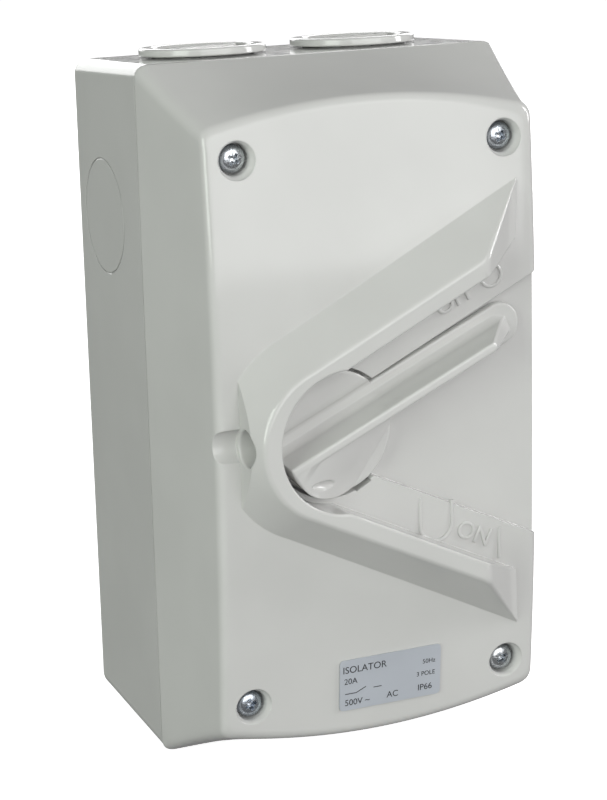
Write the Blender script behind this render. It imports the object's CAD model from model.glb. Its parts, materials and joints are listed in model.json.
# %% [markdown]
# A rotary isolator switch: a weatherproof plastic wall box with a lever in a V-shaped recess.
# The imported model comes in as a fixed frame, so that every piece made here lands in its own place.
# What shows from outside is moulded again with finer curves. What is hidden keeps its mesh and
# gets a better finish.

# %% Load the frame
import json
import math

import bmesh
import bpy
from mathutils import Matrix, Vector


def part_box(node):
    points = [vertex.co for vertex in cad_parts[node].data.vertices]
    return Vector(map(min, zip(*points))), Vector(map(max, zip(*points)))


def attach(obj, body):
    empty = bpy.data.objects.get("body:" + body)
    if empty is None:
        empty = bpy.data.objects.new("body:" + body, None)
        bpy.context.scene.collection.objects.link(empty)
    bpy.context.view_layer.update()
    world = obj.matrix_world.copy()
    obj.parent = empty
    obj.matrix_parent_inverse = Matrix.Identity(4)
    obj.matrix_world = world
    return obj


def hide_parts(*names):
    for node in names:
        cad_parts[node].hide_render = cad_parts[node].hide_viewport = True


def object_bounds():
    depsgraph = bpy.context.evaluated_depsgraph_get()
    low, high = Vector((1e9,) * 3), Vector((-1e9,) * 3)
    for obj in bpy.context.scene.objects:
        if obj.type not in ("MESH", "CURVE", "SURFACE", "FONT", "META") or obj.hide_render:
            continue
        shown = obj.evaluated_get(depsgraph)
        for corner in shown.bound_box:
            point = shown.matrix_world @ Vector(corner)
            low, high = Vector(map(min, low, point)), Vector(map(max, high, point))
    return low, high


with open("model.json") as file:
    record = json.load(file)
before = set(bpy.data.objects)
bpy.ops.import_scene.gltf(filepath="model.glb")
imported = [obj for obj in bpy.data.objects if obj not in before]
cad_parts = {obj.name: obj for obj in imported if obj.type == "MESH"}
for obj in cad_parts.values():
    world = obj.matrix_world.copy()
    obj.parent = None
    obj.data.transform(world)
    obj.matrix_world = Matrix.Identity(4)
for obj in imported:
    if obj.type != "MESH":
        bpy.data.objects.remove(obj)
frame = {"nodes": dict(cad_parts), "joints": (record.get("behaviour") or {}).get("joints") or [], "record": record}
cad_box = [list(corner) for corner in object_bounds()]

# %% [markdown]
# Measures are written in millimetres, and a place is (across, out, up): right of the middle, out
# from the wall, above the middle. One function turns that into Blender's metres. Short helpers
# make closed solids: a loft through outlines, a prism and a turned shape.

# %% Places and outlines
MM = 0.001
OUT, UP, RIGHT = Vector((0, -1, 0)), Vector((0, 0, 1)), Vector((1, 0, 0))


def place(across, out, up):
    return Vector((across, -out, up)) * MM


def spread(start, end, steps):
    return [start + (end - start) * i / steps for i in range(steps + 1)]


def bend(start, corner, end, steps):
    """Points on a smooth curve that rounds off a corner."""
    curve = []
    for t in spread(0, 1, steps):
        first, middle, last = (1 - t) ** 2, 2 * t * (1 - t), t * t
        curve.append([first * a + middle * b + last * c for a, b, c in zip(start, corner, end)])
    return curve


def rounded_rectangle(half_width, half_height, radius, steps=10):
    points = []
    for corner, (sx, sz) in enumerate(((1, 1), (-1, 1), (-1, -1), (1, -1))):
        for angle in spread(corner * math.pi / 2, (corner + 1) * math.pi / 2, steps):
            x = sx * (half_width - radius) + radius * math.cos(angle)
            points.append((x, sz * (half_height - radius) + radius * math.sin(angle)))
    return points


# %% Solids
SHARP_ABOVE = math.radians(32)  # an edge that bends more than this stays sharp
SPECK = 0.0002 * MM  # points closer than this become one point after a cut


def solid(name, bm):
    """Makes an object of a closed bmesh."""
    bmesh.ops.recalc_face_normals(bm, faces=bm.faces)
    mesh = bpy.data.meshes.new(name)
    bm.to_mesh(mesh)
    bm.free()
    piece = bpy.data.objects.new(name, mesh)
    bpy.context.scene.collection.objects.link(piece)
    soften(mesh)
    return piece


def open_edges(mesh):
    """Edges that don't join exactly two faces. A closed solid has none."""
    bm = bmesh.new()
    bm.from_mesh(mesh)
    count = sum(len(edge.link_faces) != 2 for edge in bm.edges)
    bm.free()
    return count


def soften(mesh):
    for face in mesh.polygons:
        face.use_smooth = True
    mesh.set_sharp_from_angle(angle=SHARP_ABOVE)


def flatten_flats(piece):
    """Lets the larger faces lead the shading, so a flat wall stays flat up to its rounded edge."""
    lead = piece.modifiers.new("Lead", "WEIGHTED_NORMAL")
    lead.keep_sharp = True
    lead.weight = 80
    bpy.context.view_layer.update()
    graph = bpy.context.evaluated_depsgraph_get()
    mesh = bpy.data.meshes.new_from_object(piece.evaluated_get(graph))
    piece.modifiers.clear()
    piece.data = mesh


def loft(name, rings, cap=True):
    """A solid through rings of equal length, each a list of (across, out, up)."""
    bm = bmesh.new()
    made = [[bm.verts.new(place(*point)) for point in ring] for ring in rings]
    for near, far in zip(made, made[1:]):
        for i in range(len(near)):
            bm.faces.new((near[i - 1], near[i], far[i], far[i - 1]))
    bm.faces.new(made[0])
    if cap:
        bm.faces.new(made[-1])
    else:
        bmesh.ops.pointmerge(bm, verts=made[-1], merge_co=made[-1][0].co)
    return solid(name, bm)


def prism(name, outline, outs):
    return loft(name, [[(x, out, z) for x, z in outline] for out in outs])


def turned(name, profile, foot, along, steps=72):
    """Spins (radius, height) points, from pole to pole, about `along`."""
    bm = bmesh.new()
    rim = [(math.cos(a), math.sin(a)) for a in spread(0, 2 * math.pi, steps)[:-1]]
    top = bm.verts.new((0, 0, profile[0][1] * MM))
    foot_vert = bm.verts.new((0, 0, profile[-1][1] * MM))
    rings = [[bm.verts.new((r * c * MM, r * s * MM, h * MM)) for c, s in rim] for r, h in profile[1:-1]]
    for i in range(steps):
        bm.faces.new((top, rings[0][i - 1], rings[0][i]))
        bm.faces.new((foot_vert, rings[-1][i], rings[-1][i - 1]))
        for near, far in zip(rings, rings[1:]):
            bm.faces.new((near[i - 1], far[i - 1], far[i], near[i]))
    turn = along.to_track_quat("Z", "Y").to_matrix().to_4x4()
    bmesh.ops.transform(bm, matrix=Matrix.Translation(foot) @ turn, verts=bm.verts)
    return solid(name, bm)


def box(name, across, out, up):
    outline = [(across[0], up[0]), (across[1], up[0]), (across[1], up[1]), (across[0], up[1])]
    return prism(name, outline, out)


def cylinder(name, radius, heights, foot, along, steps=72):
    low, high = heights
    return turned(name, [(0, high), (radius, high), (radius, low), (0, low)], foot, along, steps)


# %% Cutting and joining
def carve(piece, steps):
    """Joins ("+") or cuts ("-") with each tool in turn, and tidies the mesh after each."""
    for sign, tool in steps:
        modifier = piece.modifiers.new(tool.name, "BOOLEAN")
        modifier.operation = "UNION" if sign == "+" else "DIFFERENCE"
        modifier.solver = "EXACT"
        modifier.object = tool
        bpy.context.view_layer.update()
        graph = bpy.context.evaluated_depsgraph_get()
        mesh = bpy.data.meshes.new_from_object(piece.evaluated_get(graph))
        piece.modifiers.clear()
        bm = bmesh.new()
        bm.from_mesh(mesh)
        bmesh.ops.remove_doubles(bm, verts=bm.verts, dist=SPECK)
        bmesh.ops.dissolve_degenerate(bm, edges=bm.edges, dist=SPECK)
        bm.to_mesh(mesh)
        bm.free()
        piece.data = mesh
        bpy.data.objects.remove(tool)
    soften(mesh)
    left_open = open_edges(mesh)
    print(piece.name, len(mesh.polygons), "faces after", len(steps), "steps,", left_open, "open edges")
    return piece


# %% [markdown]
# Materials start from what the real one is. Two small functions do all the node work: one adds a
# node with its settings and links, and one starts a finish with its shader. Colours are sRGB hex
# values, turned to linear light by one function. Patterns read Object coordinates, which are in
# metres, so a pattern's scale is 1000 divided by its real size in millimetres.

# %% Nodes and colours
def linear(hex_colour):
    parts = [int(hex_colour[i:i + 2], 16) / 255 for i in (1, 3, 5)]
    return (*[c / 12.92 if c <= 0.04045 else ((c + 0.055) / 1.055) ** 2.4 for c in parts], 1)


def per_metre(millimetres):
    return 1000 / millimetres


def add(tree, kind, settings, links=None):
    """Adds one node. A setting is an input's name or number, or a property's name.

    A link joins an output to an input.
    """
    node = tree.nodes.new(kind)
    for name, value in settings.items():
        if isinstance(name, int) or name in node.inputs.keys():
            node.inputs[name].default_value = value
        else:
            setattr(node, name, value)
    for name, output in (links or {}).items():
        tree.links.new(output, node.inputs[name])
    return node


def ramp(tree, factor, stops):
    """A colour ramp through (place, colour) stops."""
    node = add(tree, "ShaderNodeValToRGB", {}, {"Fac": factor})
    stripe = node.color_ramp.elements
    while len(stripe) < len(stops):
        stripe.new(0.5)
    for element, (spot, colour) in zip(stripe, stops):
        element.position = spot
        element.color = colour
    return node.outputs["Color"]


def grey(value):
    return (value, value, value, 1)


def finish(name, shader, pattern_mm, colours, roughness, bump, rounding=0.0):
    """A finish with a pattern of `pattern_mm` that varies its colour, roughness and height a little."""
    material = bpy.data.materials.new(name)
    material.use_nodes = True
    tree = material.node_tree
    tree.nodes.clear()
    coords = add(tree, "ShaderNodeTexCoord", {}).outputs["Object"]
    fine = add(
        tree, "ShaderNodeTexNoise", {"Scale": per_metre(pattern_mm), "Detail": 4.0}, {"Vector": coords}
    ).outputs["Fac"]
    broad = add(
        tree, "ShaderNodeTexNoise", {"Scale": per_metre(28), "Detail": 2.0}, {"Vector": coords}
    ).outputs["Fac"]
    tone = ramp(tree, broad, [(0.35, linear(colours[0])), (0.65, linear(colours[1]))])
    rough = ramp(tree, fine, [(0.3, grey(roughness[0])), (0.7, grey(roughness[1]))])
    links = {"Height": fine}
    if rounding:
        edge = add(tree, "ShaderNodeBevel", {"samples": 6, "Radius": rounding * MM})
        links["Normal"] = edge.outputs["Normal"]
    skin = add(tree, "ShaderNodeBump", {"Strength": bump[0], "Distance": bump[1] * MM}, links)
    principled = add(
        tree, "ShaderNodeBsdfPrincipled", shader,
        {"Base Color": tone, "Roughness": rough, "Normal": skin.outputs["Normal"]},
    )
    add(tree, "ShaderNodeOutputMaterial", {}, {"Surface": principled.outputs["BSDF"]})
    return material


# %% [markdown]
# The box and the lever are injection-moulded from a light warm grey ASA and polycarbonate blend,
# which keeps its colour outdoors. The mould is polished, so the skin is glossy, with a faint
# orange-peel ripple about 3 mm wide that wobbles its reflections. The Bevel node rounds what
# light sees of every moulded edge by half a millimetre, as the mould does.

# %% Moulded plastics
box_plastic = finish(
    "Moulded ASA blend, polished mould", {"IOR": 1.5, "Specular IOR Level": 0.5},
    3.0, ("#CDCDCB", "#D1D1CF"), (0.07, 0.11), (0.04, 0.02), rounding=0.45,
)
lever_plastic = finish(
    "Moulded ASA blend, lever batch", {"IOR": 1.5, "Specular IOR Level": 0.5},
    2.6, ("#CECECC", "#D2D2D0"), (0.07, 0.11), (0.04, 0.02), rounding=0.5,
)
print("finishes:", box_plastic.name, "and", lever_plastic.name)

# %% [markdown]
# Inside the box there are seven more finishes. Black thermoset is pressed from powder, so it is
# semi-matt and slightly grainy. Natural nylon is milky and lets a little light in. Nitrile rubber
# is matt. Zinc plate is bright with a faint blue passivation, and spring steel is darker and
# oiled. The bars are drawn brass, and the contacts are copper plated with silver.

# %% Inner finishes
thermoset = finish(
    "Pressed phenolic, black", {"IOR": 1.55}, 0.6, ("#17171A", "#1E1E21"), (0.42, 0.58), (0.25, 0.03)
)
nylon = finish(
    "Moulded natural nylon", {"IOR": 1.53, "Subsurface Weight": 0.15, "Subsurface Scale": 0.002},
    1.2, ("#D9CFB4", "#E2D9C2"), (0.34, 0.46), (0.12, 0.02), rounding=0.2,
)
rubber = finish(
    "Moulded nitrile rubber", {"IOR": 1.52}, 0.5, ("#121212", "#1B1B1B"), (0.62, 0.8), (0.3, 0.03)
)
zinc = finish(
    "Zinc plate, blue passivated", {"Metallic": 1.0}, 0.35, ("#B9C0C9", "#CDD0D2"),
    (0.16, 0.32), (0.2, 0.01), rounding=0.08,
)
spring_steel = finish(
    "Oil-tempered spring steel", {"Metallic": 1.0}, 0.4, ("#7E7B77", "#928F8A"), (0.22, 0.36), (0.15, 0.01)
)
brass = finish(
    "Drawn brass", {"Metallic": 1.0}, 0.5, ("#B8934F", "#C9A661"), (0.24, 0.4), (0.2, 0.01), rounding=0.1
)
contact_silver = finish(
    "Silver plate on copper", {"Metallic": 1.0}, 0.5, ("#C9C0B6", "#D8D2CA"), (0.2, 0.34), (0.15, 0.01)
)

# %% [markdown]
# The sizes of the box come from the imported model. Its outline grows a little from the wall to
# the rim, and the cover leans back in from the rim to a crowned front face whose top and bottom
# edges are arched.

# %% Sizes
base_low, base_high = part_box("rear_base")
cover_low, cover_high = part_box("front_cover")
lever_low, lever_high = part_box("lever_handle")
BASE_RIM, COVER_RIM = -base_low.y / MM, -cover_high.y / MM
RIM_WIDTH, RIM_HEIGHT = cover_high.x / MM, cover_high.z / MM
BACK_WIDTH, BACK_HEIGHT = RIM_WIDTH - 0.35, RIM_HEIGHT - 2.4
GUARD_TOP = -cover_low.y / MM
FACE_WIDTH, FACE_HEIGHT = 41.85, 71.8
FACE_OUT, CROWN, ARCH_RISE = 73.5, 3.0, 5.6
WALL = 2.5
CORNER_ROUND, LEAST_ROUND = 3.5, 0.8
AXIS = frame["joints"][0]["pos_m"][0] / MM
print("rims at", round(BASE_RIM, 2), round(COVER_RIM, 2), "guard top", round(GUARD_TOP, 2), "axis", AXIS)


def corners(across, up):
    return [(sx * across, sz * up) for sz in (1, -1) for sx in (-1, 1)]


def face_out(up):
    return FACE_OUT + CROWN * (1 - (up / FACE_HEIGHT) ** 2)


def base_ring(out, inset):
    share = out / COVER_RIM
    half_width = BACK_WIDTH + (RIM_WIDTH - BACK_WIDTH) * share - inset
    half_height = BACK_HEIGHT + (RIM_HEIGHT - BACK_HEIGHT) * share - inset
    radius = max(LEAST_ROUND, CORNER_ROUND - inset)
    return [(x, out, z) for x, z in rounded_rectangle(half_width, half_height, radius)]


# %% [markdown]
# The rear base is a deep open tray. It is lofted through rounded rectangles, with a small round
# at the wall side, and hollowed by a smaller loft. Cylinders give it the screw pillars, and thin
# rings are cut where a round of wall can be knocked out for a conduit.

# %% Base form
SCREW_ACROSS, SCREW_UP = 34.0, 65.4
PLUG_ACROSS, PLUG_OUT = 20.2, 20.3
KNOCKOUT_OUTER, KNOCKOUT_INNER, KNOCKOUT_DEPTH = 14.2, 13.9, 0.3
SIDE_KNOCKOUT_OUT, SIDE_KNOCKOUT_UP = 19.3, 46.0
TOP_LEAN = math.atan2(RIM_HEIGHT - BACK_HEIGHT, COVER_RIM)
SIDE_LEAN = math.atan2(RIM_WIDTH - BACK_WIDTH, COVER_RIM)


def top_wall(across, out):
    return place(across, out, BACK_HEIGHT + math.tan(TOP_LEAN) * out)


def knockout(name, foot, along):
    """A thin ring groove."""
    groove = cylinder(name, KNOCKOUT_OUTER, (-KNOCKOUT_DEPTH, 1), foot, along, 96)
    core = cylinder(name + "_core", KNOCKOUT_INNER, (-2, 2), foot, along, 96)
    return carve(groove, [("-", core)])


wall_round = [(0, 1.2), (0.12, 0.65), (0.35, 0.35), (0.7, 0.1), (1.2, 0)]
base = loft("base_moulding", [base_ring(out, inset) for out, inset in wall_round + [(BASE_RIM, 0)]])
up_normal = Vector((0, math.sin(TOP_LEAN), math.cos(TOP_LEAN)))
down_normal = Vector((0, math.sin(TOP_LEAN), -math.cos(TOP_LEAN)))
steps = [
    ("-", loft("base_hollow", [base_ring(WALL, WALL), base_ring(50, WALL)])),
    ("-", loft("gasket_seat", [base_ring(43.0, 1.2), base_ring(50, 1.2)])),
]
for i, (x, z) in enumerate(corners(SCREW_ACROSS, SCREW_UP)):
    steps.append(("+", cylinder(f"base_pillar_{i}", 5.4, (1, BASE_RIM - 0.2), place(x, 0, z), OUT, 40)))
    steps.append(("-", cylinder(f"insert_bore_{i}", 3.3, (36, 50), place(x, 0, z), OUT, 32)))
    steps.append(("-", cylinder(f"screw_bore_{i}", 2.3, (26, 40), place(x, 0, z), OUT, 32)))
for i, (x, z) in enumerate(corners(30.0, 50.0)):
    steps.append(("-", cylinder(f"fixing_hole_{i}", 2.5, (-1, 5), place(x, 0, z), OUT, 32)))

# %% Base posts, entries and knock-outs
for z in (39, -39):
    steps.append(("+", cylinder(f"plate_post_{z}", 4, (1, 6), place(AXIS, 0, z), OUT, 40)))
    steps.append(("-", cylinder(f"plate_bore_{z}", 1.8, (1.5, 8), place(AXIS, 0, z), OUT, 24)))
for middle in (-16, 16):
    steps.append(("+", box(f"bar_post_{middle}", (22, 32), (1, 9), (middle - 12, middle + 12))))
for z in (24, 8, -8, -24):
    steps.append(("-", cylinder(f"bar_bore_{z}", 1.8, (3, 10), place(27, 0, z), OUT, 24)))
for side in (-1, 1):
    entry = top_wall(side * PLUG_ACROSS, PLUG_OUT)
    below = Vector((entry.x, entry.y, -entry.z))
    reach = BACK_WIDTH + math.tan(SIDE_LEAN) * SIDE_KNOCKOUT_OUT
    flank = place(side * reach, SIDE_KNOCKOUT_OUT, SIDE_KNOCKOUT_UP)
    facing = Vector((side, math.tan(SIDE_LEAN), 0)).normalized()
    steps.append(("-", cylinder(f"entry_{side}", 12.7, (-8, 8), entry, up_normal)))
    steps.append(("-", knockout(f"bottom_knockout_{side}", below, down_normal)))
    steps.append(("-", knockout(f"side_knockout_{side}", flank, facing)))
carve(base, steps)

# %% [markdown]
# The front cover is one moulding: a shallow lid with leaning walls, a crowned face, a V-shaped
# guard and the recess that the lever turns in. Its skin is made of rings that all have the same
# number of points: up the leaning walls, over a rounded front edge, and then shrinking over the
# crowned face. That keeps every curve smooth without a subdivision surface.

# %% Cover skin
def arched(half_width, half_height, rise, radius, across_steps=26, up_steps=34):
    """An upright rectangle with arched ends and rounded corners, as (across, up) points."""
    def end(x):
        return half_height + rise * (1 - (x / half_width) ** 2)
    right = bend(
        (half_width, half_height - radius), (half_width, half_height),
        (half_width - radius, end(half_width - radius)), 8,
    )
    top = [(x, end(x)) for x in spread(half_width - radius, radius - half_width, across_steps)[1:-1]]
    left = [(-x, z) for x, z in reversed(right)]
    side = [(-half_width, z) for z in spread(half_height - radius, radius - half_height, up_steps)[1:-1]]
    upper = [tuple(p) for p in right] + top + left
    lower = [(-x, -z) for x, z in upper]
    return upper + side + lower + [(-x, -z) for x, z in side]


EDGE_ROUND, SHELF_SHARE = 2.1, 0.972


def cover_rings(inset, back, hollow_in):
    """Rings from the rim, up the walls, over the front edge and in to the middle of the face."""
    rim = arched(RIM_WIDTH - inset, RIM_HEIGHT - inset, 0.0, max(LEAST_ROUND, CORNER_ROUND - inset))
    edge = arched(FACE_WIDTH - inset, FACE_HEIGHT - inset, ARCH_RISE, max(LEAST_ROUND, 3.0 - inset))
    rings = []
    for share in spread(0, 0.925, 7):
        ring = []
        for (x0, z0), (x1, z1) in zip(rim, edge):
            sag = 1 - hollow_in * 4 * share * (1 - share) / (RIM_HEIGHT - 2)
            out = back + (face_out(z1) - inset - back) * share
            ring.append(((x0 + (x1 - x0) * share), out, (z0 + (z1 - z0) * share) * sag))
        rings.append(ring)
    wall = rings[-1]
    brink = [(x, face_out(z) - inset, z) for x, z in edge]
    shelf = []
    for x, z in edge:
        z_in = z * SHELF_SHARE
        shelf.append((x * (1 - EDGE_ROUND / FACE_WIDTH), face_out(z_in) - inset, z_in))
    curves = [bend(w, b, s, 7) for w, b, s in zip(wall, brink, shelf)]
    for i in range(1, 8):
        rings.append([curve[i] for curve in curves])
    for share in spread(1, 0, 22)[1:]:
        rings.append([(x * share, face_out(z * share) - inset, z * share) for x, _, z in shelf])
    return rings


cover = loft("cover_moulding", cover_rings(0, COVER_RIM, 0.5), cap=False)
print("cover skin:", len(cover.data.polygons), "faces")

# %% [markdown]
# The guard is a V-shaped ridge that opens to the right, so the lever's tip can be reached from
# there. Its outside slopes in, its crest is nearly 4 mm wide and its arms end in a slanting facet.
# One function draws a V with a round bottom, and a corner bend keeps the arm ends from being sharp.

# %% Guard
GUARD_SLOPE, GUARD_FLAT = 0.49, -36.4
GUARD_FOOT_OUT = 76.2
CREST_START = GUARD_TOP - 0.8
FLOOR_OUT, FLOOR_SLOPE = 72.4, 0.477
WELL_RADIUS, WELL_MOUTH = 15.3, 17.05
CLEAR = 90  # a cutting tool that reaches this far out clears every part of the cover


def v_outline(offset, slope, radius, centre, right, steps=64, tip=0.0):
    """A V that opens to the right: an arc about `centre`, two straight arms and a blunt open end."""
    lean = math.atan(slope)
    distance = (offset + slope * centre) * math.cos(lean)
    start = lean + math.asin(min(1.0, distance / radius))
    arc = [
        (centre + radius * math.cos(a), radius * math.sin(a))
        for a in spread(start, 2 * math.pi - start, steps)
    ]
    high = offset + slope * right
    if not tip:
        return [(right, high), *arc, (right, -high)]
    back = (right - tip * math.cos(lean), high - tip * math.sin(lean))
    upper = [tuple(p) for p in bend((right, high - tip), (right, high), back, 7)]
    lower = [(x, -z) for x, z in reversed(upper)]
    return [*upper, *arc, *lower]


def guard_ring(share, out, tip):
    outline = v_outline(
        28.4 + 8 * share, GUARD_SLOPE, 18.7 + 7.2 * share, -15.55, 23.3 + 12 * share, tip=tip
    )
    return [(x, out, z) for x, z in outline]


def share_at(out):
    return (GUARD_TOP - out) / (GUARD_TOP - GUARD_FOOT_OUT)


crest_round = bend((share_at(CREST_START), CREST_START), (0, GUARD_TOP), (-0.11, GUARD_TOP), 7)
slope_up = [(share_at(out), out) for out in spread(73.4, CREST_START, 8)[:-1]]
guard_rings = []
for share, out in slope_up + crest_round:
    guard_rings.append(guard_ring(share, out, 0.5 + 1.6 * (1 - max(0, share))))
guard = loft("guard_form", guard_rings)
inner_round = bend((0, GUARD_TOP - 0.6), (0, GUARD_TOP), (0.6, GUARD_TOP), 5)
inner_rings = []
for flare, out in [(0, 70.0)] + [tuple(p) for p in inner_round] + [(0.6, 92.0)]:
    outline = v_outline(23.6 + flare * 1.11, GUARD_SLOPE, WELL_MOUTH + flare, AXIS, 50)
    inner_rings.append([(x, out, z) for x, z in outline])
carve(
    guard,
    [
        ("-", loft("guard_inside", inner_rings)),
        ("-", box("guard_flat", (-50, GUARD_FLAT), (70, 90), (-30, 30))),
    ],
)

# %% [markdown]
# The cover is then carved as a mould would shape it: hollowed, given its bosses and guard, and cut
# for the round well of the lever's hub, the V-shaped floor, a short slot in the ledge beside the
# well, the padlock hole with the thumb groove beside it, and the four seats that the screw heads
# sink into.

# %% Cover cuts
hollow = loft("cover_hollow", cover_rings(WALL, COVER_RIM - 1, 0), cap=False)
grow = (WELL_MOUTH - WELL_RADIUS) / (GUARD_TOP - FLOOR_OUT)
clear_radius = WELL_RADIUS + grow * (CLEAR - FLOOR_OUT)
pit = turned(
    "pit", [(0, CLEAR), (clear_radius, CLEAR), (WELL_RADIUS, FLOOR_OUT), (0, FLOOR_OUT)],
    place(AXIS, 0, 0), OUT, 96,
)
steps = [
    ("-", hollow),
    ("+", prism("floor_pad", v_outline(17, FLOOR_SLOPE, 19.5, AXIS, 41), (69.9, 73.9))),
    ("+", box("groove_pad", (-40.5, -28), (70.9, 75), (-8, 8))),
    ("+", cylinder("bearing_boss", 10.5, (60.2, 71), place(AXIS, 0, 0), OUT)),
    ("+", guard),
]
for i, (x, z) in enumerate(corners(SCREW_ACROSS, SCREW_UP)):
    steps.append(("+", cylinder(f"cover_pillar_{i}", 5.4, (COVER_RIM, 72), place(x, 0, z), OUT, 40)))
hole_profile = [(0, 5), (3.2, 5), (4.0, 4.7), (4.25, 3.9), (4.25, 0.5), (4.4, 0.2), (4.8, -0.2), (0, -0.2)]
recess = prism("recess", v_outline(13.1, FLOOR_SLOPE, WELL_RADIUS, AXIS, 50), (FLOOR_OUT, CLEAR))
SLOT_TURN, SLOT_HALF = math.radians(-61), 2.2
slot_cos, slot_sin = math.cos(SLOT_TURN), math.sin(SLOT_TURN)
slot = []
for far, side in ((14.8, -SLOT_HALF), (16.1, -SLOT_HALF), (16.1, SLOT_HALF), (14.8, SLOT_HALF)):
    slot.append((AXIS + far * slot_cos - side * slot_sin, far * slot_sin + side * slot_cos))
steps += [
    ("-", pit),
    ("-", recess),
    ("-", prism("hub_slot", slot, (FLOOR_OUT + 0.6, CLEAR))),
    ("-", cylinder("bearing_bore", 7.3, (55, 75), place(AXIS, 0, 0), OUT)),
    ("-", turned("padlock_hole", hole_profile, place(GUARD_FLAT, 80, 0), RIGHT, 64)),
    ("-", cylinder("groove", 4.3, (-10, 0), place(GUARD_FLAT, 78.2, 0), RIGHT, 64)),
]
seat_profile = [
    (0, 80), (4.6, 80), (4.6, 74.0), (4.3, 73.5), (4.05, 73.15), (3.85, 72.7), (3.75, 72.2),
    (3.7, 69.0), (2.3, 69.0), (2.3, 40), (0, 40),
]
for i, (x, z) in enumerate(corners(SCREW_ACROSS, SCREW_UP)):
    steps.append(("-", turned(f"screw_seat_{i}", seat_profile, place(x, 0, z), OUT, 64)))
carve(cover, steps)

# %% [markdown]
# The lever's hub is a disc that sits flush in its well. A bar with a round end reaches to the
# right, and a tall finger fin stands on it. Beside the fin the lower half of the hub rises to a
# plateau that falls away in one smooth ramp, and the upper side has a groove for the fingertip.

# %% Lever form
LEVER_ANGLE = math.radians(24.5)
LEVER_UNDER, FLANGE_TOP = 73.0, 74.7
FIN_TOP = -lever_low.y / MM
print("lever fin stands", round(FIN_TOP, 2), "mm out")


def lever_point(along, aside):
    c, s = math.cos(LEVER_ANGLE), math.sin(LEVER_ANGLE)
    return AXIS + along * c - aside * s, along * s + aside * c


hub_profile = [
    (0, 76.4), (14.4, 76.4), (14.75, 76.3), (14.98, 76.05), (15.05, 75.6), (14.8, LEVER_UNDER),
    (7.0, LEVER_UNDER), (7.0, 67.0), (5.5, 66.9), (5.5, 64.5), (7.0, 64.4), (7.0, 59.7), (5.9, 59.6),
    (5.9, 58.2), (7.0, 58.1), (7.0, 57.0), (0, 57.0),
]
lever = turned("lever_moulding", hub_profile, place(AXIS, 0, 0), OUT, 96)
plateau_profile = [
    (0, FIN_TOP), (14.3, FIN_TOP), (14.75, FIN_TOP - 0.12), (15.05, FIN_TOP - 0.45), (15.15, FIN_TOP - 0.9),
    (14.65, 76), (0, 76),
]
plateau = turned("plateau_form", plateau_profile, place(AXIS, 0, 0), OUT, 96)

# %% Plateau ramp
FALL_TURN = math.radians(35)
downhill = Vector((math.cos(FALL_TURN), 0, -math.sin(FALL_TURN)))
aside_fall = Vector((math.sin(FALL_TURN), 0, math.cos(FALL_TURN)))


def ramp_height(s):
    """How far out the plateau stands `s` mm downhill of the axis."""
    share = min(1.0, max(0.0, (s + 5.5) / 23.0))
    return FIN_TOP + 0.02 - (FIN_TOP - 72.2) * share ** 1.55


bm = bmesh.new()
low_rail, high_rail = [], []
for s in spread(-5.5, 24, 30):
    for rail, out in ((low_rail, ramp_height(s)), (high_rail, 95.0)):
        centre = place(AXIS, out, 0) + downhill * s * MM
        lower_vert = bm.verts.new(centre - aside_fall * 24 * MM)
        rail.append((lower_vert, bm.verts.new(centre + aside_fall * 24 * MM)))
for rail in (low_rail, high_rail):
    for (a, b), (c, d) in zip(rail, rail[1:]):
        bm.faces.new((a, b, d, c))
for end in (0, -1):
    bm.faces.new((low_rail[end][0], low_rail[end][1], high_rail[end][1], high_rail[end][0]))
for side in (0, 1):
    bm.faces.new([pair[side] for pair in low_rail] + [pair[side] for pair in reversed(high_rail)])
fall_tool = solid("plateau_fall", bm)
behind_fin = [lever_point(*p) for p in ((-24, 24), (24, 24), (24, 0.8), (-24, 0.8))]
carve(plateau, [("-", fall_tool), ("-", prism("plateau_half", behind_fin, (70, 95)))])

# %% [markdown]
# The fin is lofted in levels, from its foot out to its crest. Each level is a long narrow outline,
# a little smaller than the one before, so the fin leans in and ends in a slanting facet. Its upper
# side flares at the foot in a hollow curve, and its left end follows the hub's rim. The bar below
# it has a round tip, and its rounded upper edge makes the bright arc there. The finger groove drops
# from the hub over a strong round brow. A small scoop is cut in the hub, and a square socket
# underneath takes the spindle.

# %% Fin and flange
FOOT_OUT, FOOT_ROUND = 73.8, 3.4


def fin_ring(out, ease):
    """One level of the fin. `ease` draws in the crest's edges, and `flare` hollows its foot."""
    share = (out - FOOT_OUT) / (FIN_TOP - FOOT_OUT)
    flare = 2.7 * max(0, 1 - (out - FOOT_OUT) / FOOT_ROUND) ** 2.2
    upper = 1.6 - 0.5 * share - ease
    lower = -3.4 + 2.3 * share + ease
    tip = 52.5 - 9.5 * share - ease
    end = 14.6 + 0.5 * share - ease
    flared = upper + flare
    round_end = (lower, (lower + upper) / 2, flared)
    outline = [(-math.sqrt(end ** 2 - aside ** 2), aside) for aside in round_end]
    outline += [(tip - 3, flared), (tip - 0.6, upper)]
    outline += [(tip, upper - 0.6), (tip, lower + 0.6), (tip - 0.6, lower)]
    return [(x, out, z) for x, z in (lever_point(*p) for p in outline)]


foot_levels = spread(FOOT_OUT, FOOT_OUT + FOOT_ROUND, 9)
side_levels = spread(FOOT_OUT + FOOT_ROUND, FIN_TOP - 0.5, 4)[1:]
levels = [(out, 0.0) for out in foot_levels + side_levels]
levels += [(FIN_TOP - 0.28, 0.06), (FIN_TOP - 0.1, 0.22), (FIN_TOP, 0.5)]
fin = loft("fin_form", [fin_ring(*level) for level in levels])
LEVER_REACH, BAR_HALF, BAR_START = 49.8, 5.2, -13.5


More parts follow.
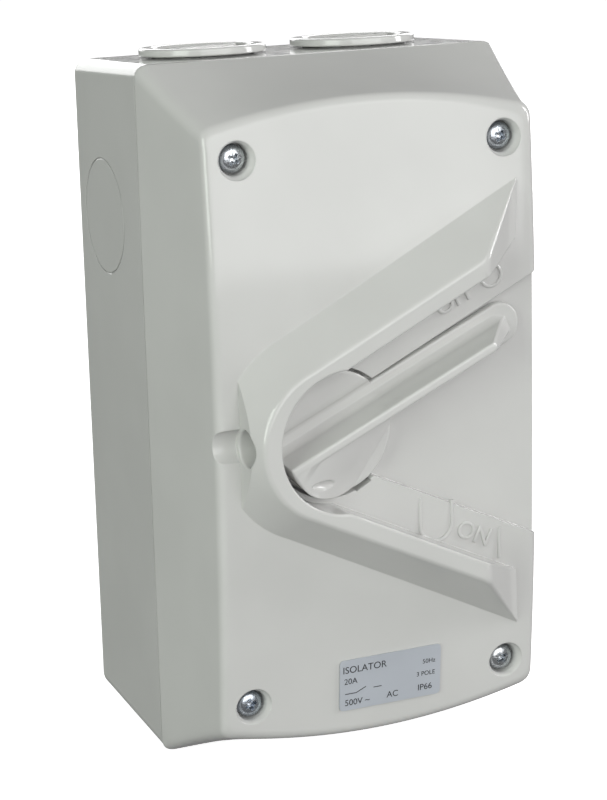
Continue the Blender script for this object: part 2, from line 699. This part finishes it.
def bar_ring(out, ease):
    half = BAR_HALF - ease
    tip = [
        (LEVER_REACH + half * math.cos(a), half * math.sin(a))
        for a in spread(-math.pi / 2, math.pi / 2, 28)
    ]
    outline = [*tip, (BAR_START, half), (BAR_START, -half)]
    return [(x, out, z) for x, z in (lever_point(*p) for p in outline)]


bar_levels = [
    (LEVER_UNDER, 0), (FLANGE_TOP - 0.6, 0), (FLANGE_TOP - 0.25, 0.12), (FLANGE_TOP - 0.07, 0.33),
    (FLANGE_TOP, 0.65),
]
bar = loft("bar_form", [bar_ring(*level) for level in bar_levels])
EDGE_ASIDE, EDGE_CURVE = 5.9, 1.4
GROOVE_FLOOR = FLANGE_TOP - 0.03


def groove_section(along):
    """The finger groove's section: the hub falls to it over a strong round edge."""
    brink = (EDGE_ASIDE, 75.4)
    brow = bend((EDGE_ASIDE - EDGE_CURVE, GROOVE_FLOOR), (EDGE_ASIDE - 0.5, 74.8), brink, 6)
    brow += bend(brink, (EDGE_ASIDE + 0.75, 76.3), (EDGE_ASIDE + 2.0, 76.45), 8)[1:]
    section = [(-2.0, GROOVE_FLOOR), *brow, (EDGE_ASIDE + 2.0, 80.0), (-2.0, 80.0)]
    points = []
    for aside, out in section:
        x, z = lever_point(along, aside)
        points.append((x, out, z))
    return points


finger_groove = loft("finger_groove", [groove_section(along) for along in (-18, 18)])
scoop_profile = [
    (0, 4.7), (0.5, 3.9), (1.0, 2.5), (1.3, 0.6), (1.3, -0.6), (1.0, -2.5), (0.5, -3.9), (0, -4.7),
]
scoop_lean = Vector((0.96, 0.25, -0.13)).normalized()
scoop = turned("scoop", scoop_profile, place(-17.4, 82.5, -10.7), scoop_lean, 32)
socket = box("lever_socket", (AXIS - 3.3, AXIS + 3.3), (50, 70.8), (-3.3, 3.3))
carve(
    lever,
    [("-", finger_groove), ("+", bar), ("+", plateau), ("+", fin), ("-", scoop), ("-", socket)],
)
for mesh_piece, material, body, node, slot in (
    (base, box_plastic, "box", "rear_base", "moulded_box_plastic"),
    (cover, box_plastic, "box", "front_cover", "moulded_box_plastic"),
    (lever, lever_plastic, "lever", "lever_handle", "handle_plastic"),
):
    flatten_flats(mesh_piece)
    mesh_piece.data.materials.clear()
    mesh_piece.data.materials.append(material)
    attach(mesh_piece, body)
    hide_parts(node)

# %% [markdown]
# What repeats is placed by Geometry Nodes: one screw on a grid of four, one plug on a row of two.
# The tree makes the grid, tilts it to its face, puts a copy on each point, gives each screw its
# own turn from a fixed seed, and realises the copies, since instances aren't exported.

# %% A tree that copies a part
def copies_tree(name):
    tree = bpy.data.node_groups.new(name, "GeometryNodeTree")
    for label, kind in (
        ("Part", "NodeSocketObject"), ("Columns", "NodeSocketInt"), ("Rows", "NodeSocketInt"),
        ("Width", "NodeSocketFloat"), ("Height", "NodeSocketFloat"), ("Centre", "NodeSocketVector"),
        ("Tilt", "NodeSocketVector"), ("Most turn", "NodeSocketFloat"), ("Seed", "NodeSocketInt"),
        ("Finish", "NodeSocketMaterial"),
    ):
        tree.interface.new_socket(label, in_out="INPUT", socket_type=kind)
    tree.interface.new_socket("Geometry", in_out="OUTPUT", socket_type="NodeSocketGeometry")
    given = add(tree, "NodeGroupInput", {}).outputs
    grid = add(
        tree, "GeometryNodeMeshGrid", {},
        {
            "Size X": given["Width"], "Size Y": given["Height"],
            "Vertices X": given["Columns"], "Vertices Y": given["Rows"],
        },
    )
    part = add(tree, "GeometryNodeObjectInfo", {}, {"Object": given["Part"]})
    low = add(tree, "ShaderNodeMath", {"operation": "MULTIPLY", 1: -1.0}, {0: given["Most turn"]})
    turn = add(
        tree, "FunctionNodeRandomValue", {"data_type": "FLOAT"},
        {2: low.outputs[0], 3: given["Most turn"], "Seed": given["Seed"]},
    )
    spin = add(tree, "ShaderNodeCombineXYZ", {}, {"Z": turn.outputs[1]})
    copies = add(
        tree, "GeometryNodeInstanceOnPoints", {},
        {"Points": grid.outputs["Mesh"], "Instance": part.outputs["Geometry"], "Rotation": spin.outputs[0]},
    )
    placed = add(
        tree, "GeometryNodeTransform", {},
        {"Geometry": copies.outputs[0], "Translation": given["Centre"], "Rotation": given["Tilt"]},
    )
    real = add(tree, "GeometryNodeRealizeInstances", {}, {"Geometry": placed.outputs[0]})
    coated = add(
        tree, "GeometryNodeSetMaterial", {}, {"Geometry": real.outputs[0], "Material": given["Finish"]}
    )
    add(tree, "NodeGroupOutput", {}, {"Geometry": coated.outputs[0]})
    return tree


def make_copies(name, tree, values):
    """Runs the tree on an empty mesh with these input values, and keeps the result as a plain mesh."""
    carrier = bpy.data.objects.new(name, bpy.data.meshes.new(name))
    bpy.context.scene.collection.objects.link(carrier)
    modifier = carrier.modifiers.new("Copies", "NODES")
    modifier.node_group = tree
    for item in tree.interface.items_tree:
        if item.item_type == "SOCKET" and item.name in values:
            modifier[item.identifier] = values[item.name]
    bpy.context.view_layer.update()
    graph = bpy.context.evaluated_depsgraph_get()
    mesh = bpy.data.meshes.new_from_object(carrier.evaluated_get(graph))
    carrier.modifiers.clear()
    carrier.data = mesh
    soften(mesh)
    print(name, len(mesh.polygons), "faces")
    return carrier


copy_part = copies_tree("Copies on a grid")

# %% [markdown]
# A cover screw has a pan head with a flat rim and a pozidrive recess: a cross with a tapered
# middle and four fine ticks between its arms. It is turned, then cut by the cross.

# %% Cover screws
SEAT_OUT = 69.9


def block(name, size, centre, turn=0.0):
    """A box of this size in millimetres, turned about Z after it is moved to its centre."""
    bm = bmesh.new()
    bmesh.ops.create_cube(bm, size=1)
    bmesh.ops.scale(bm, verts=bm.verts, vec=Vector(size) * MM)
    bmesh.ops.translate(bm, verts=bm.verts, vec=Vector(centre) * MM)
    if turn:
        bmesh.ops.rotate(bm, verts=bm.verts, matrix=Matrix.Rotation(turn, 3, "Z"))
    return solid(name, bm)


crown = [
    (0, 2.4), (1.0, 2.38), (1.9, 2.28), (2.6, 2.0), (3.0, 1.6), (3.22, 1.1), (3.3, 0.6), (3.3, 0.0),
    (3.2, -0.6),
]
shank = [(1.95, -0.6), (1.95, -36.5), (1.0, -38.9), (0, -39)]
screw = turned("screw_form", crown + shank, Vector((0, 0, 0)), UP, 48)
cross = []
for i in range(2):
    bm = bmesh.new()
    bmesh.ops.create_cube(bm, size=1)
    for vert in bm.verts:
        x, y, z = vert.co
        reach, width = (1.95, 0.95) if z > 0 else (1.1, 0.6)
        vert.co = Vector((x * 2 * reach, y * width, z * 3.6 + 2.55)) * MM
    bmesh.ops.rotate(bm, verts=bm.verts, matrix=Matrix.Rotation(i * math.pi / 2, 3, "Z"))
    cross.append(("-", solid(f"cross_{i}", bm)))
middle_profile = [(0, 3), (1.15, 3), (0.7, 0.9), (0, 0.5)]
cross.append(("-", turned("cross_middle", middle_profile, Vector((0, 0, 0)), UP, 24)))
for i in range(4):
    tick = block(f"tick_{i}", (1.5, 0.14, 0.5), (1.75, 0, 2.42), math.pi / 4 + i * math.pi / 2)
    cross.append(("-", tick))
carve(screw, cross)
screws = make_copies(
    "cover_screws", copy_part,
    {
        "Part": screw, "Columns": 2, "Rows": 2,
        "Width": 2 * SCREW_ACROSS * MM, "Height": 2 * SCREW_UP * MM,
        "Centre": place(0, SEAT_OUT, 0), "Tilt": (math.pi / 2, 0, 0), "Most turn": 0.8, "Seed": 4,
        "Finish": zinc,
    },
)
bpy.data.objects.remove(screw)
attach(screws, "box")
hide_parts("cover_screw_1", "cover_screw_2", "cover_screw_3", "cover_screw_4")

# %% [markdown]
# Each conduit entry in the top is closed by a screw-in blanking plug. Its flange stands on the
# wall over a sealing ring, and a slot and a raised bar across its dished top take a coin or a
# spanner. The thread below is five shallow rings.

# %% Blanking plugs
PLUG_RADIUS = 15.6
plug_profile = [
    (0, 1.55), (11.2, 1.55), (11.5, 1.6), (11.75, 1.85), (12.05, 2.2), (12.4, 2.27), (14.9, 2.27),
    (15.25, 2.2), (15.5, 2.0), (PLUG_RADIUS, 1.7), (PLUG_RADIUS, 0.6), (15.45, 0.4), (15.2, 0.35),
    (13.4, 0.3), (13.4, 0.25), (12.3, 0.2), (12.3, -1.5),
]
for i in range(5):
    z = -2.0 - 1.5 * i
    plug_profile += [(11.9, z), (12.35, z - 0.7)]
plug_profile += [(12.0, -9.7), (11.6, -10.25), (10.2, -10.3), (10.2, -0.6), (0, -0.6)]
plug = turned("plug_form", plug_profile, Vector((0, 0, 0)), UP, 96)

carve(
    plug,
    [
        ("+", block("plug_rib", (19, 4.6, 1.4), (0, 0, 1.5))),
        ("-", block("plug_slot", (16, 2.0, 1.8), (0, 0, 1.9))),
    ],
)
plugs = make_copies(
    "conduit_plugs", copy_part,
    {
        "Part": plug, "Columns": 2, "Rows": 1, "Width": 2 * PLUG_ACROSS * MM, "Height": 0.0,
        "Centre": top_wall(0, PLUG_OUT), "Tilt": (-TOP_LEAN, 0, 0), "Most turn": 0.5, "Seed": 3,
        "Finish": box_plastic,
    },
)
bpy.data.objects.remove(plug)
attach(plugs, "box")
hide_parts("conduit_plug_left", "conduit_plug_right")

# %% [markdown]
# Raised marks on the two ledges say which way is off and which is on. They are cut into the mould,
# so they stand proud with softly rounded edges, the lines by a third of a millimetre and the
# letters by 0.4 mm. Letters start as text, which is made a mesh before it is put in place.

# %% Raised marks
MARK = 0.32


def flat_text(words, height, depth, round_edge):
    """Text as a bmesh in millimetres, lying in X and Y, with its middle at the origin."""
    curve = bpy.data.curves.new(words, "FONT")
    curve.body = words
    curve.size = height / 0.7
    curve.align_x, curve.align_y = "CENTER", "CENTER"
    curve.extrude = depth / 2
    curve.bevel_depth = round_edge
    curve.bevel_resolution = 1
    curve.resolution_u = 5
    text = bpy.data.objects.new(words, curve)
    bpy.context.scene.collection.objects.link(text)
    bpy.context.view_layer.update()
    mesh = bpy.data.meshes.new_from_object(text.evaluated_get(bpy.context.evaluated_depsgraph_get()))
    bpy.data.objects.remove(text)
    bm = bmesh.new()
    bm.from_mesh(mesh)
    bmesh.ops.remove_doubles(bm, verts=bm.verts, dist=1e-4)
    return bm


def on_face(bm, across, out, up, turn):
    """Stands a flat bmesh, in millimetres, on the front and turns it."""
    stand = Matrix.Translation(place(across, out, up)) @ Matrix.Rotation(math.pi / 2, 4, "X")
    turned_flat = Matrix.Rotation(turn, 4, "Z")
    bmesh.ops.transform(bm, matrix=stand @ turned_flat @ Matrix.Scale(MM, 4), verts=bm.verts)


def pour(drawn, target):
    """Adds one bmesh to another and frees it."""
    flat = bpy.data.meshes.new("drawn")
    drawn.to_mesh(flat)
    drawn.free()
    target.from_mesh(flat)
    bpy.data.meshes.remove(flat)


def stroke(points, half, closed):
    """A raised line through (across, up) points, as a bmesh in millimetres with a rounded top."""
    bm = bmesh.new()
    section = [
        (-half, -0.6), (-half, 0.45 * MARK), (-half * 0.45, MARK),
        (half * 0.45, MARK), (half, 0.45 * MARK), (half, -0.6),
    ]
    rings = []
    for i, (x, y) in enumerate(points):
        before = points[i - 1] if closed or i else points[i]
        after = points[(i + 1) % len(points)] if closed or i + 1 < len(points) else points[i]
        dx, dy = after[0] - before[0], after[1] - before[1]
        size = math.hypot(dx, dy)
        rings.append([bm.verts.new((x - dy / size * s, y + dx / size * s, h)) for s, h in section])
    pairs = list(zip(rings, rings[1:])) + ([(rings[-1], rings[0])] if closed else [])
    for near, far in pairs:
        for j in range(len(section)):
            bm.faces.new((near[j - 1], near[j], far[j], far[j - 1]))
    if not closed:
        bm.faces.new(rings[0])
        bm.faces.new(rings[-1])
    return bm


def circle(radius, steps=48):
    return [(radius * math.cos(a), radius * math.sin(a)) for a in spread(0, 2 * math.pi, steps)[:-1]]


marks = bmesh.new()
U_HALF = 4.25
u_bottom = [(U_HALF * math.cos(a), U_HALF * math.sin(a)) for a in spread(math.pi, 2 * math.pi, 24)]
u_points = [(-U_HALF, 7.2), *u_bottom, (U_HALF, 5.4)]
bar_points = [(0, -4.0), (0, 4.0)]
for drawn, across, up, turn in (
    (flat_text("OFF", 4.3, 0.6, 0.1), 19.5, 28.3, LEVER_ANGLE),
    (flat_text("ON", 4.3, 0.6, 0.1), 24.2, -30.4, -LEVER_ANGLE),
    (stroke(circle(2.75), 0.42, True), 29.2, 33.1, 0.0),
    (stroke(bar_points, 0.45, False), 31.3, -33.6, 0.0),
    (stroke(u_points, 0.5, False), 14.0, -26.4, 0.0),
):
    on_face(drawn, across, face_out(up), up, turn)
    pour(drawn, marks)
position_marks = solid("position_marks", marks)
position_marks.data.materials.append(box_plastic)
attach(position_marks, "box")
print("raised marks:", len(position_marks.data.polygons), "faces")

# %% [markdown]
# The rating label is a silver-grey polyester film with black print. It carries only general
# words, ratings and a switch symbol. The film gets a faint brushed grain, and the print is a
# thin layer of ink that stands on it.

# %% Label and print
film = finish(
    "Polyester label film, silver print", {"Metallic": 0.25, "IOR": 1.5}, 0.8, ("#C3C8D0", "#CBD0D8"),
    (0.3, 0.42), (0.08, 0.005),
)
ink = finish("Printed black ink", {"IOR": 1.45}, 0.4, ("#232427", "#2E2F33"), (0.5, 0.65), (0.1, 0.005))
label_low, label_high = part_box("rating_label")
LABEL_MIDDLE = (label_low.z + label_high.z) / 2 / MM
LABEL_ACROSS = (label_low.x + label_high.x) / 2 / MM
LABEL_OUT = -(label_low.y + label_high.y) / 2 / MM + 0.14
label_tilt = math.atan2(face_out(-57.5) - face_out(-70.7), 13.2)
frame["nodes"]["rating_label"].data.materials.clear()
frame["nodes"]["rating_label"].data.materials.append(film)
INK_DEPTH = 0.03
print_bm = bmesh.new()
symbol = [[(-12.2, -2.3), (-9.2, -2.3)], [(-9.2, -2.3), (-6.6, -1.1)], [(-4.6, -1.7), (-2.4, -1.7)]]
for words, height, x, y in (
    ("ISOLATOR", 1.75, -7.0, 3.9), ("20A", 1.5, -10.7, 0.9), ("50Hz", 1.15, 10.4, 2.6),
    ("500V ~", 1.6, -8.9, -4.7), ("IP66", 1.6, 9.4, -4.2), ("3 POLE", 1.15, 9.6, -0.6),
    ("AC", 1.6, 0.6, -4.5),
):
    drawn = flat_text(words, height, INK_DEPTH, 0)
    bmesh.ops.translate(drawn, verts=drawn.verts, vec=(x, y, 0))
    pour(drawn, print_bm)
for (x0, y0), (x1, y1) in symbol:
    length, angle = math.hypot(x1 - x0, y1 - y0), math.atan2(y1 - y0, x1 - x0)
    line = bmesh.ops.create_cube(print_bm, size=1)["verts"]
    bmesh.ops.scale(print_bm, verts=line, vec=(length, 0.2, INK_DEPTH))
    bmesh.ops.rotate(print_bm, verts=line, matrix=Matrix.Rotation(angle, 3, "Z"))
    bmesh.ops.translate(print_bm, verts=line, vec=((x0 + x1) / 2, (y0 + y1) / 2, 0))
stand = Matrix.Translation(place(LABEL_ACROSS, LABEL_OUT, LABEL_MIDDLE))
stand = stand @ Matrix.Rotation(math.pi / 2 + label_tilt, 4, "X")
bmesh.ops.transform(print_bm, matrix=stand @ Matrix.Scale(MM, 4), verts=print_bm.verts)
label_print = solid("label_print", print_bm)
label_print.data.materials.append(ink)
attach(label_print, "box")

# %% [markdown]
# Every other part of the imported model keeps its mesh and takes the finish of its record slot.

# %% Finishes on carried parts
finish_of = {
    "moulded_box_plastic": box_plastic, "handle_plastic": lever_plastic, "switch_plastic": thermoset,
    "rotor_nylon": nylon, "seal_rubber": rubber, "zinc_steel": zinc, "spring_steel": spring_steel,
    "brass": brass, "plated_copper": contact_silver, "label_film": film,
}
for part in frame["record"]["subparts"]:
    carried = frame["nodes"][part["node"]]
    carried.data.materials.clear()
    carried.data.materials.append(finish_of[part["material_slot"]])

# %% [markdown]
# The switch stands on a plain white table under soft light: a large panel in front, a small bright
# one to the right that draws the thin highlights on the facets, one to the left, and a low wide
# one behind that the glossy top reflects. The camera looks down from the upper left with a long
# lens.

# %% Stage
paper = bpy.data.materials.new("White paper sweep")
paper.use_nodes = True
tree = paper.node_tree
tree.nodes.clear()
grain = add(
    tree, "ShaderNodeTexNoise", {"Scale": per_metre(6.0)},
    {"Vector": add(tree, "ShaderNodeTexCoord", {}).outputs["Object"]},
)
sheet = add(
    tree, "ShaderNodeBsdfPrincipled",
    {"Roughness": 0.9, "Emission Color": (1, 1, 1, 1), "Emission Strength": 0.85},
    {"Base Color": ramp(tree, grain.outputs["Fac"], [(0.0, grey(0.86)), (1.0, grey(0.9))])},
)
add(tree, "ShaderNodeOutputMaterial", {}, {"Surface": sheet.outputs["BSDF"]})
bm = bmesh.new()
bmesh.ops.create_grid(bm, x_segments=1, y_segments=1, size=7)
bmesh.ops.translate(bm, verts=bm.verts, vec=(0, 2, cad_box[0][2] - 0.0005))
table = bpy.data.meshes.new("table")
bm.to_mesh(table)
bm.free()
table.materials.append(paper)
table = bpy.data.objects.new("table", table)
bpy.context.scene.collection.objects.link(table)
table.visible_diffuse = False
table.visible_glossy = False

# %% Lights
world = bpy.data.worlds.new("Studio")
bpy.context.scene.world = world
world.use_nodes = True
world.node_tree.nodes["Background"].inputs["Color"].default_value = (1, 1, 1, 1)
world.node_tree.nodes["Background"].inputs["Strength"].default_value = 0.19


def panel(name, position, size, power, tint=(1, 1, 1)):
    light = bpy.data.lights.new(name, "AREA")
    light.color = tint
    light.shape = "RECTANGLE"
    light.size, light.size_y = size
    light.energy = power
    lamp = bpy.data.objects.new(name, light)
    lamp.location = position
    aim = Vector((0, -0.04, 0)) - Vector(position)
    lamp.rotation_euler = aim.to_track_quat("-Z", "Y").to_euler()
    bpy.context.scene.collection.objects.link(lamp)


panel("front_panel", (0.1, -1.7, 0.45), (1.8, 1.3), 18)
panel("right_panel", (1.3, -0.45, 0.45), (0.3, 0.8), 9)
panel("left_panel", (-1.35, -0.75, 0.35), (0.8, 1.0), 12, (0.93, 1, 0.92))
panel("back_panel", (0.5, 1.45, 0.42), (2.4, 0.6), 13)

# %% Camera
AZIMUTH, ELEVATION, ROLL = math.radians(-23.74), math.radians(14.29), math.radians(-1.45)
TARGET, DISTANCE = Vector((-0.0042, -0.040, -0.0013)), 0.5812
back = Vector((
    math.sin(AZIMUTH) * math.cos(ELEVATION), -math.cos(AZIMUTH) * math.cos(ELEVATION), math.sin(ELEVATION),
))
level = Vector((math.cos(AZIMUTH), math.sin(AZIMUTH), 0))
above = back.cross(level)
right = level * math.cos(ROLL) + above * math.sin(ROLL)
top = above * math.cos(ROLL) - level * math.sin(ROLL)
lens = bpy.data.cameras.new("camera")
lens.lens, lens.sensor_width = 105.1, 36.0
lens.clip_start, lens.clip_end = 0.02, 40.0
camera = bpy.data.objects.new("camera", lens)
facing_camera = Matrix((right, top, back)).transposed().to_4x4()
camera.matrix_world = Matrix.Translation(TARGET + back * DISTANCE) @ facing_camera
bpy.context.scene.collection.objects.link(camera)
bpy.context.scene.camera = camera
bpy.context.scene.view_settings.view_transform = "Standard"
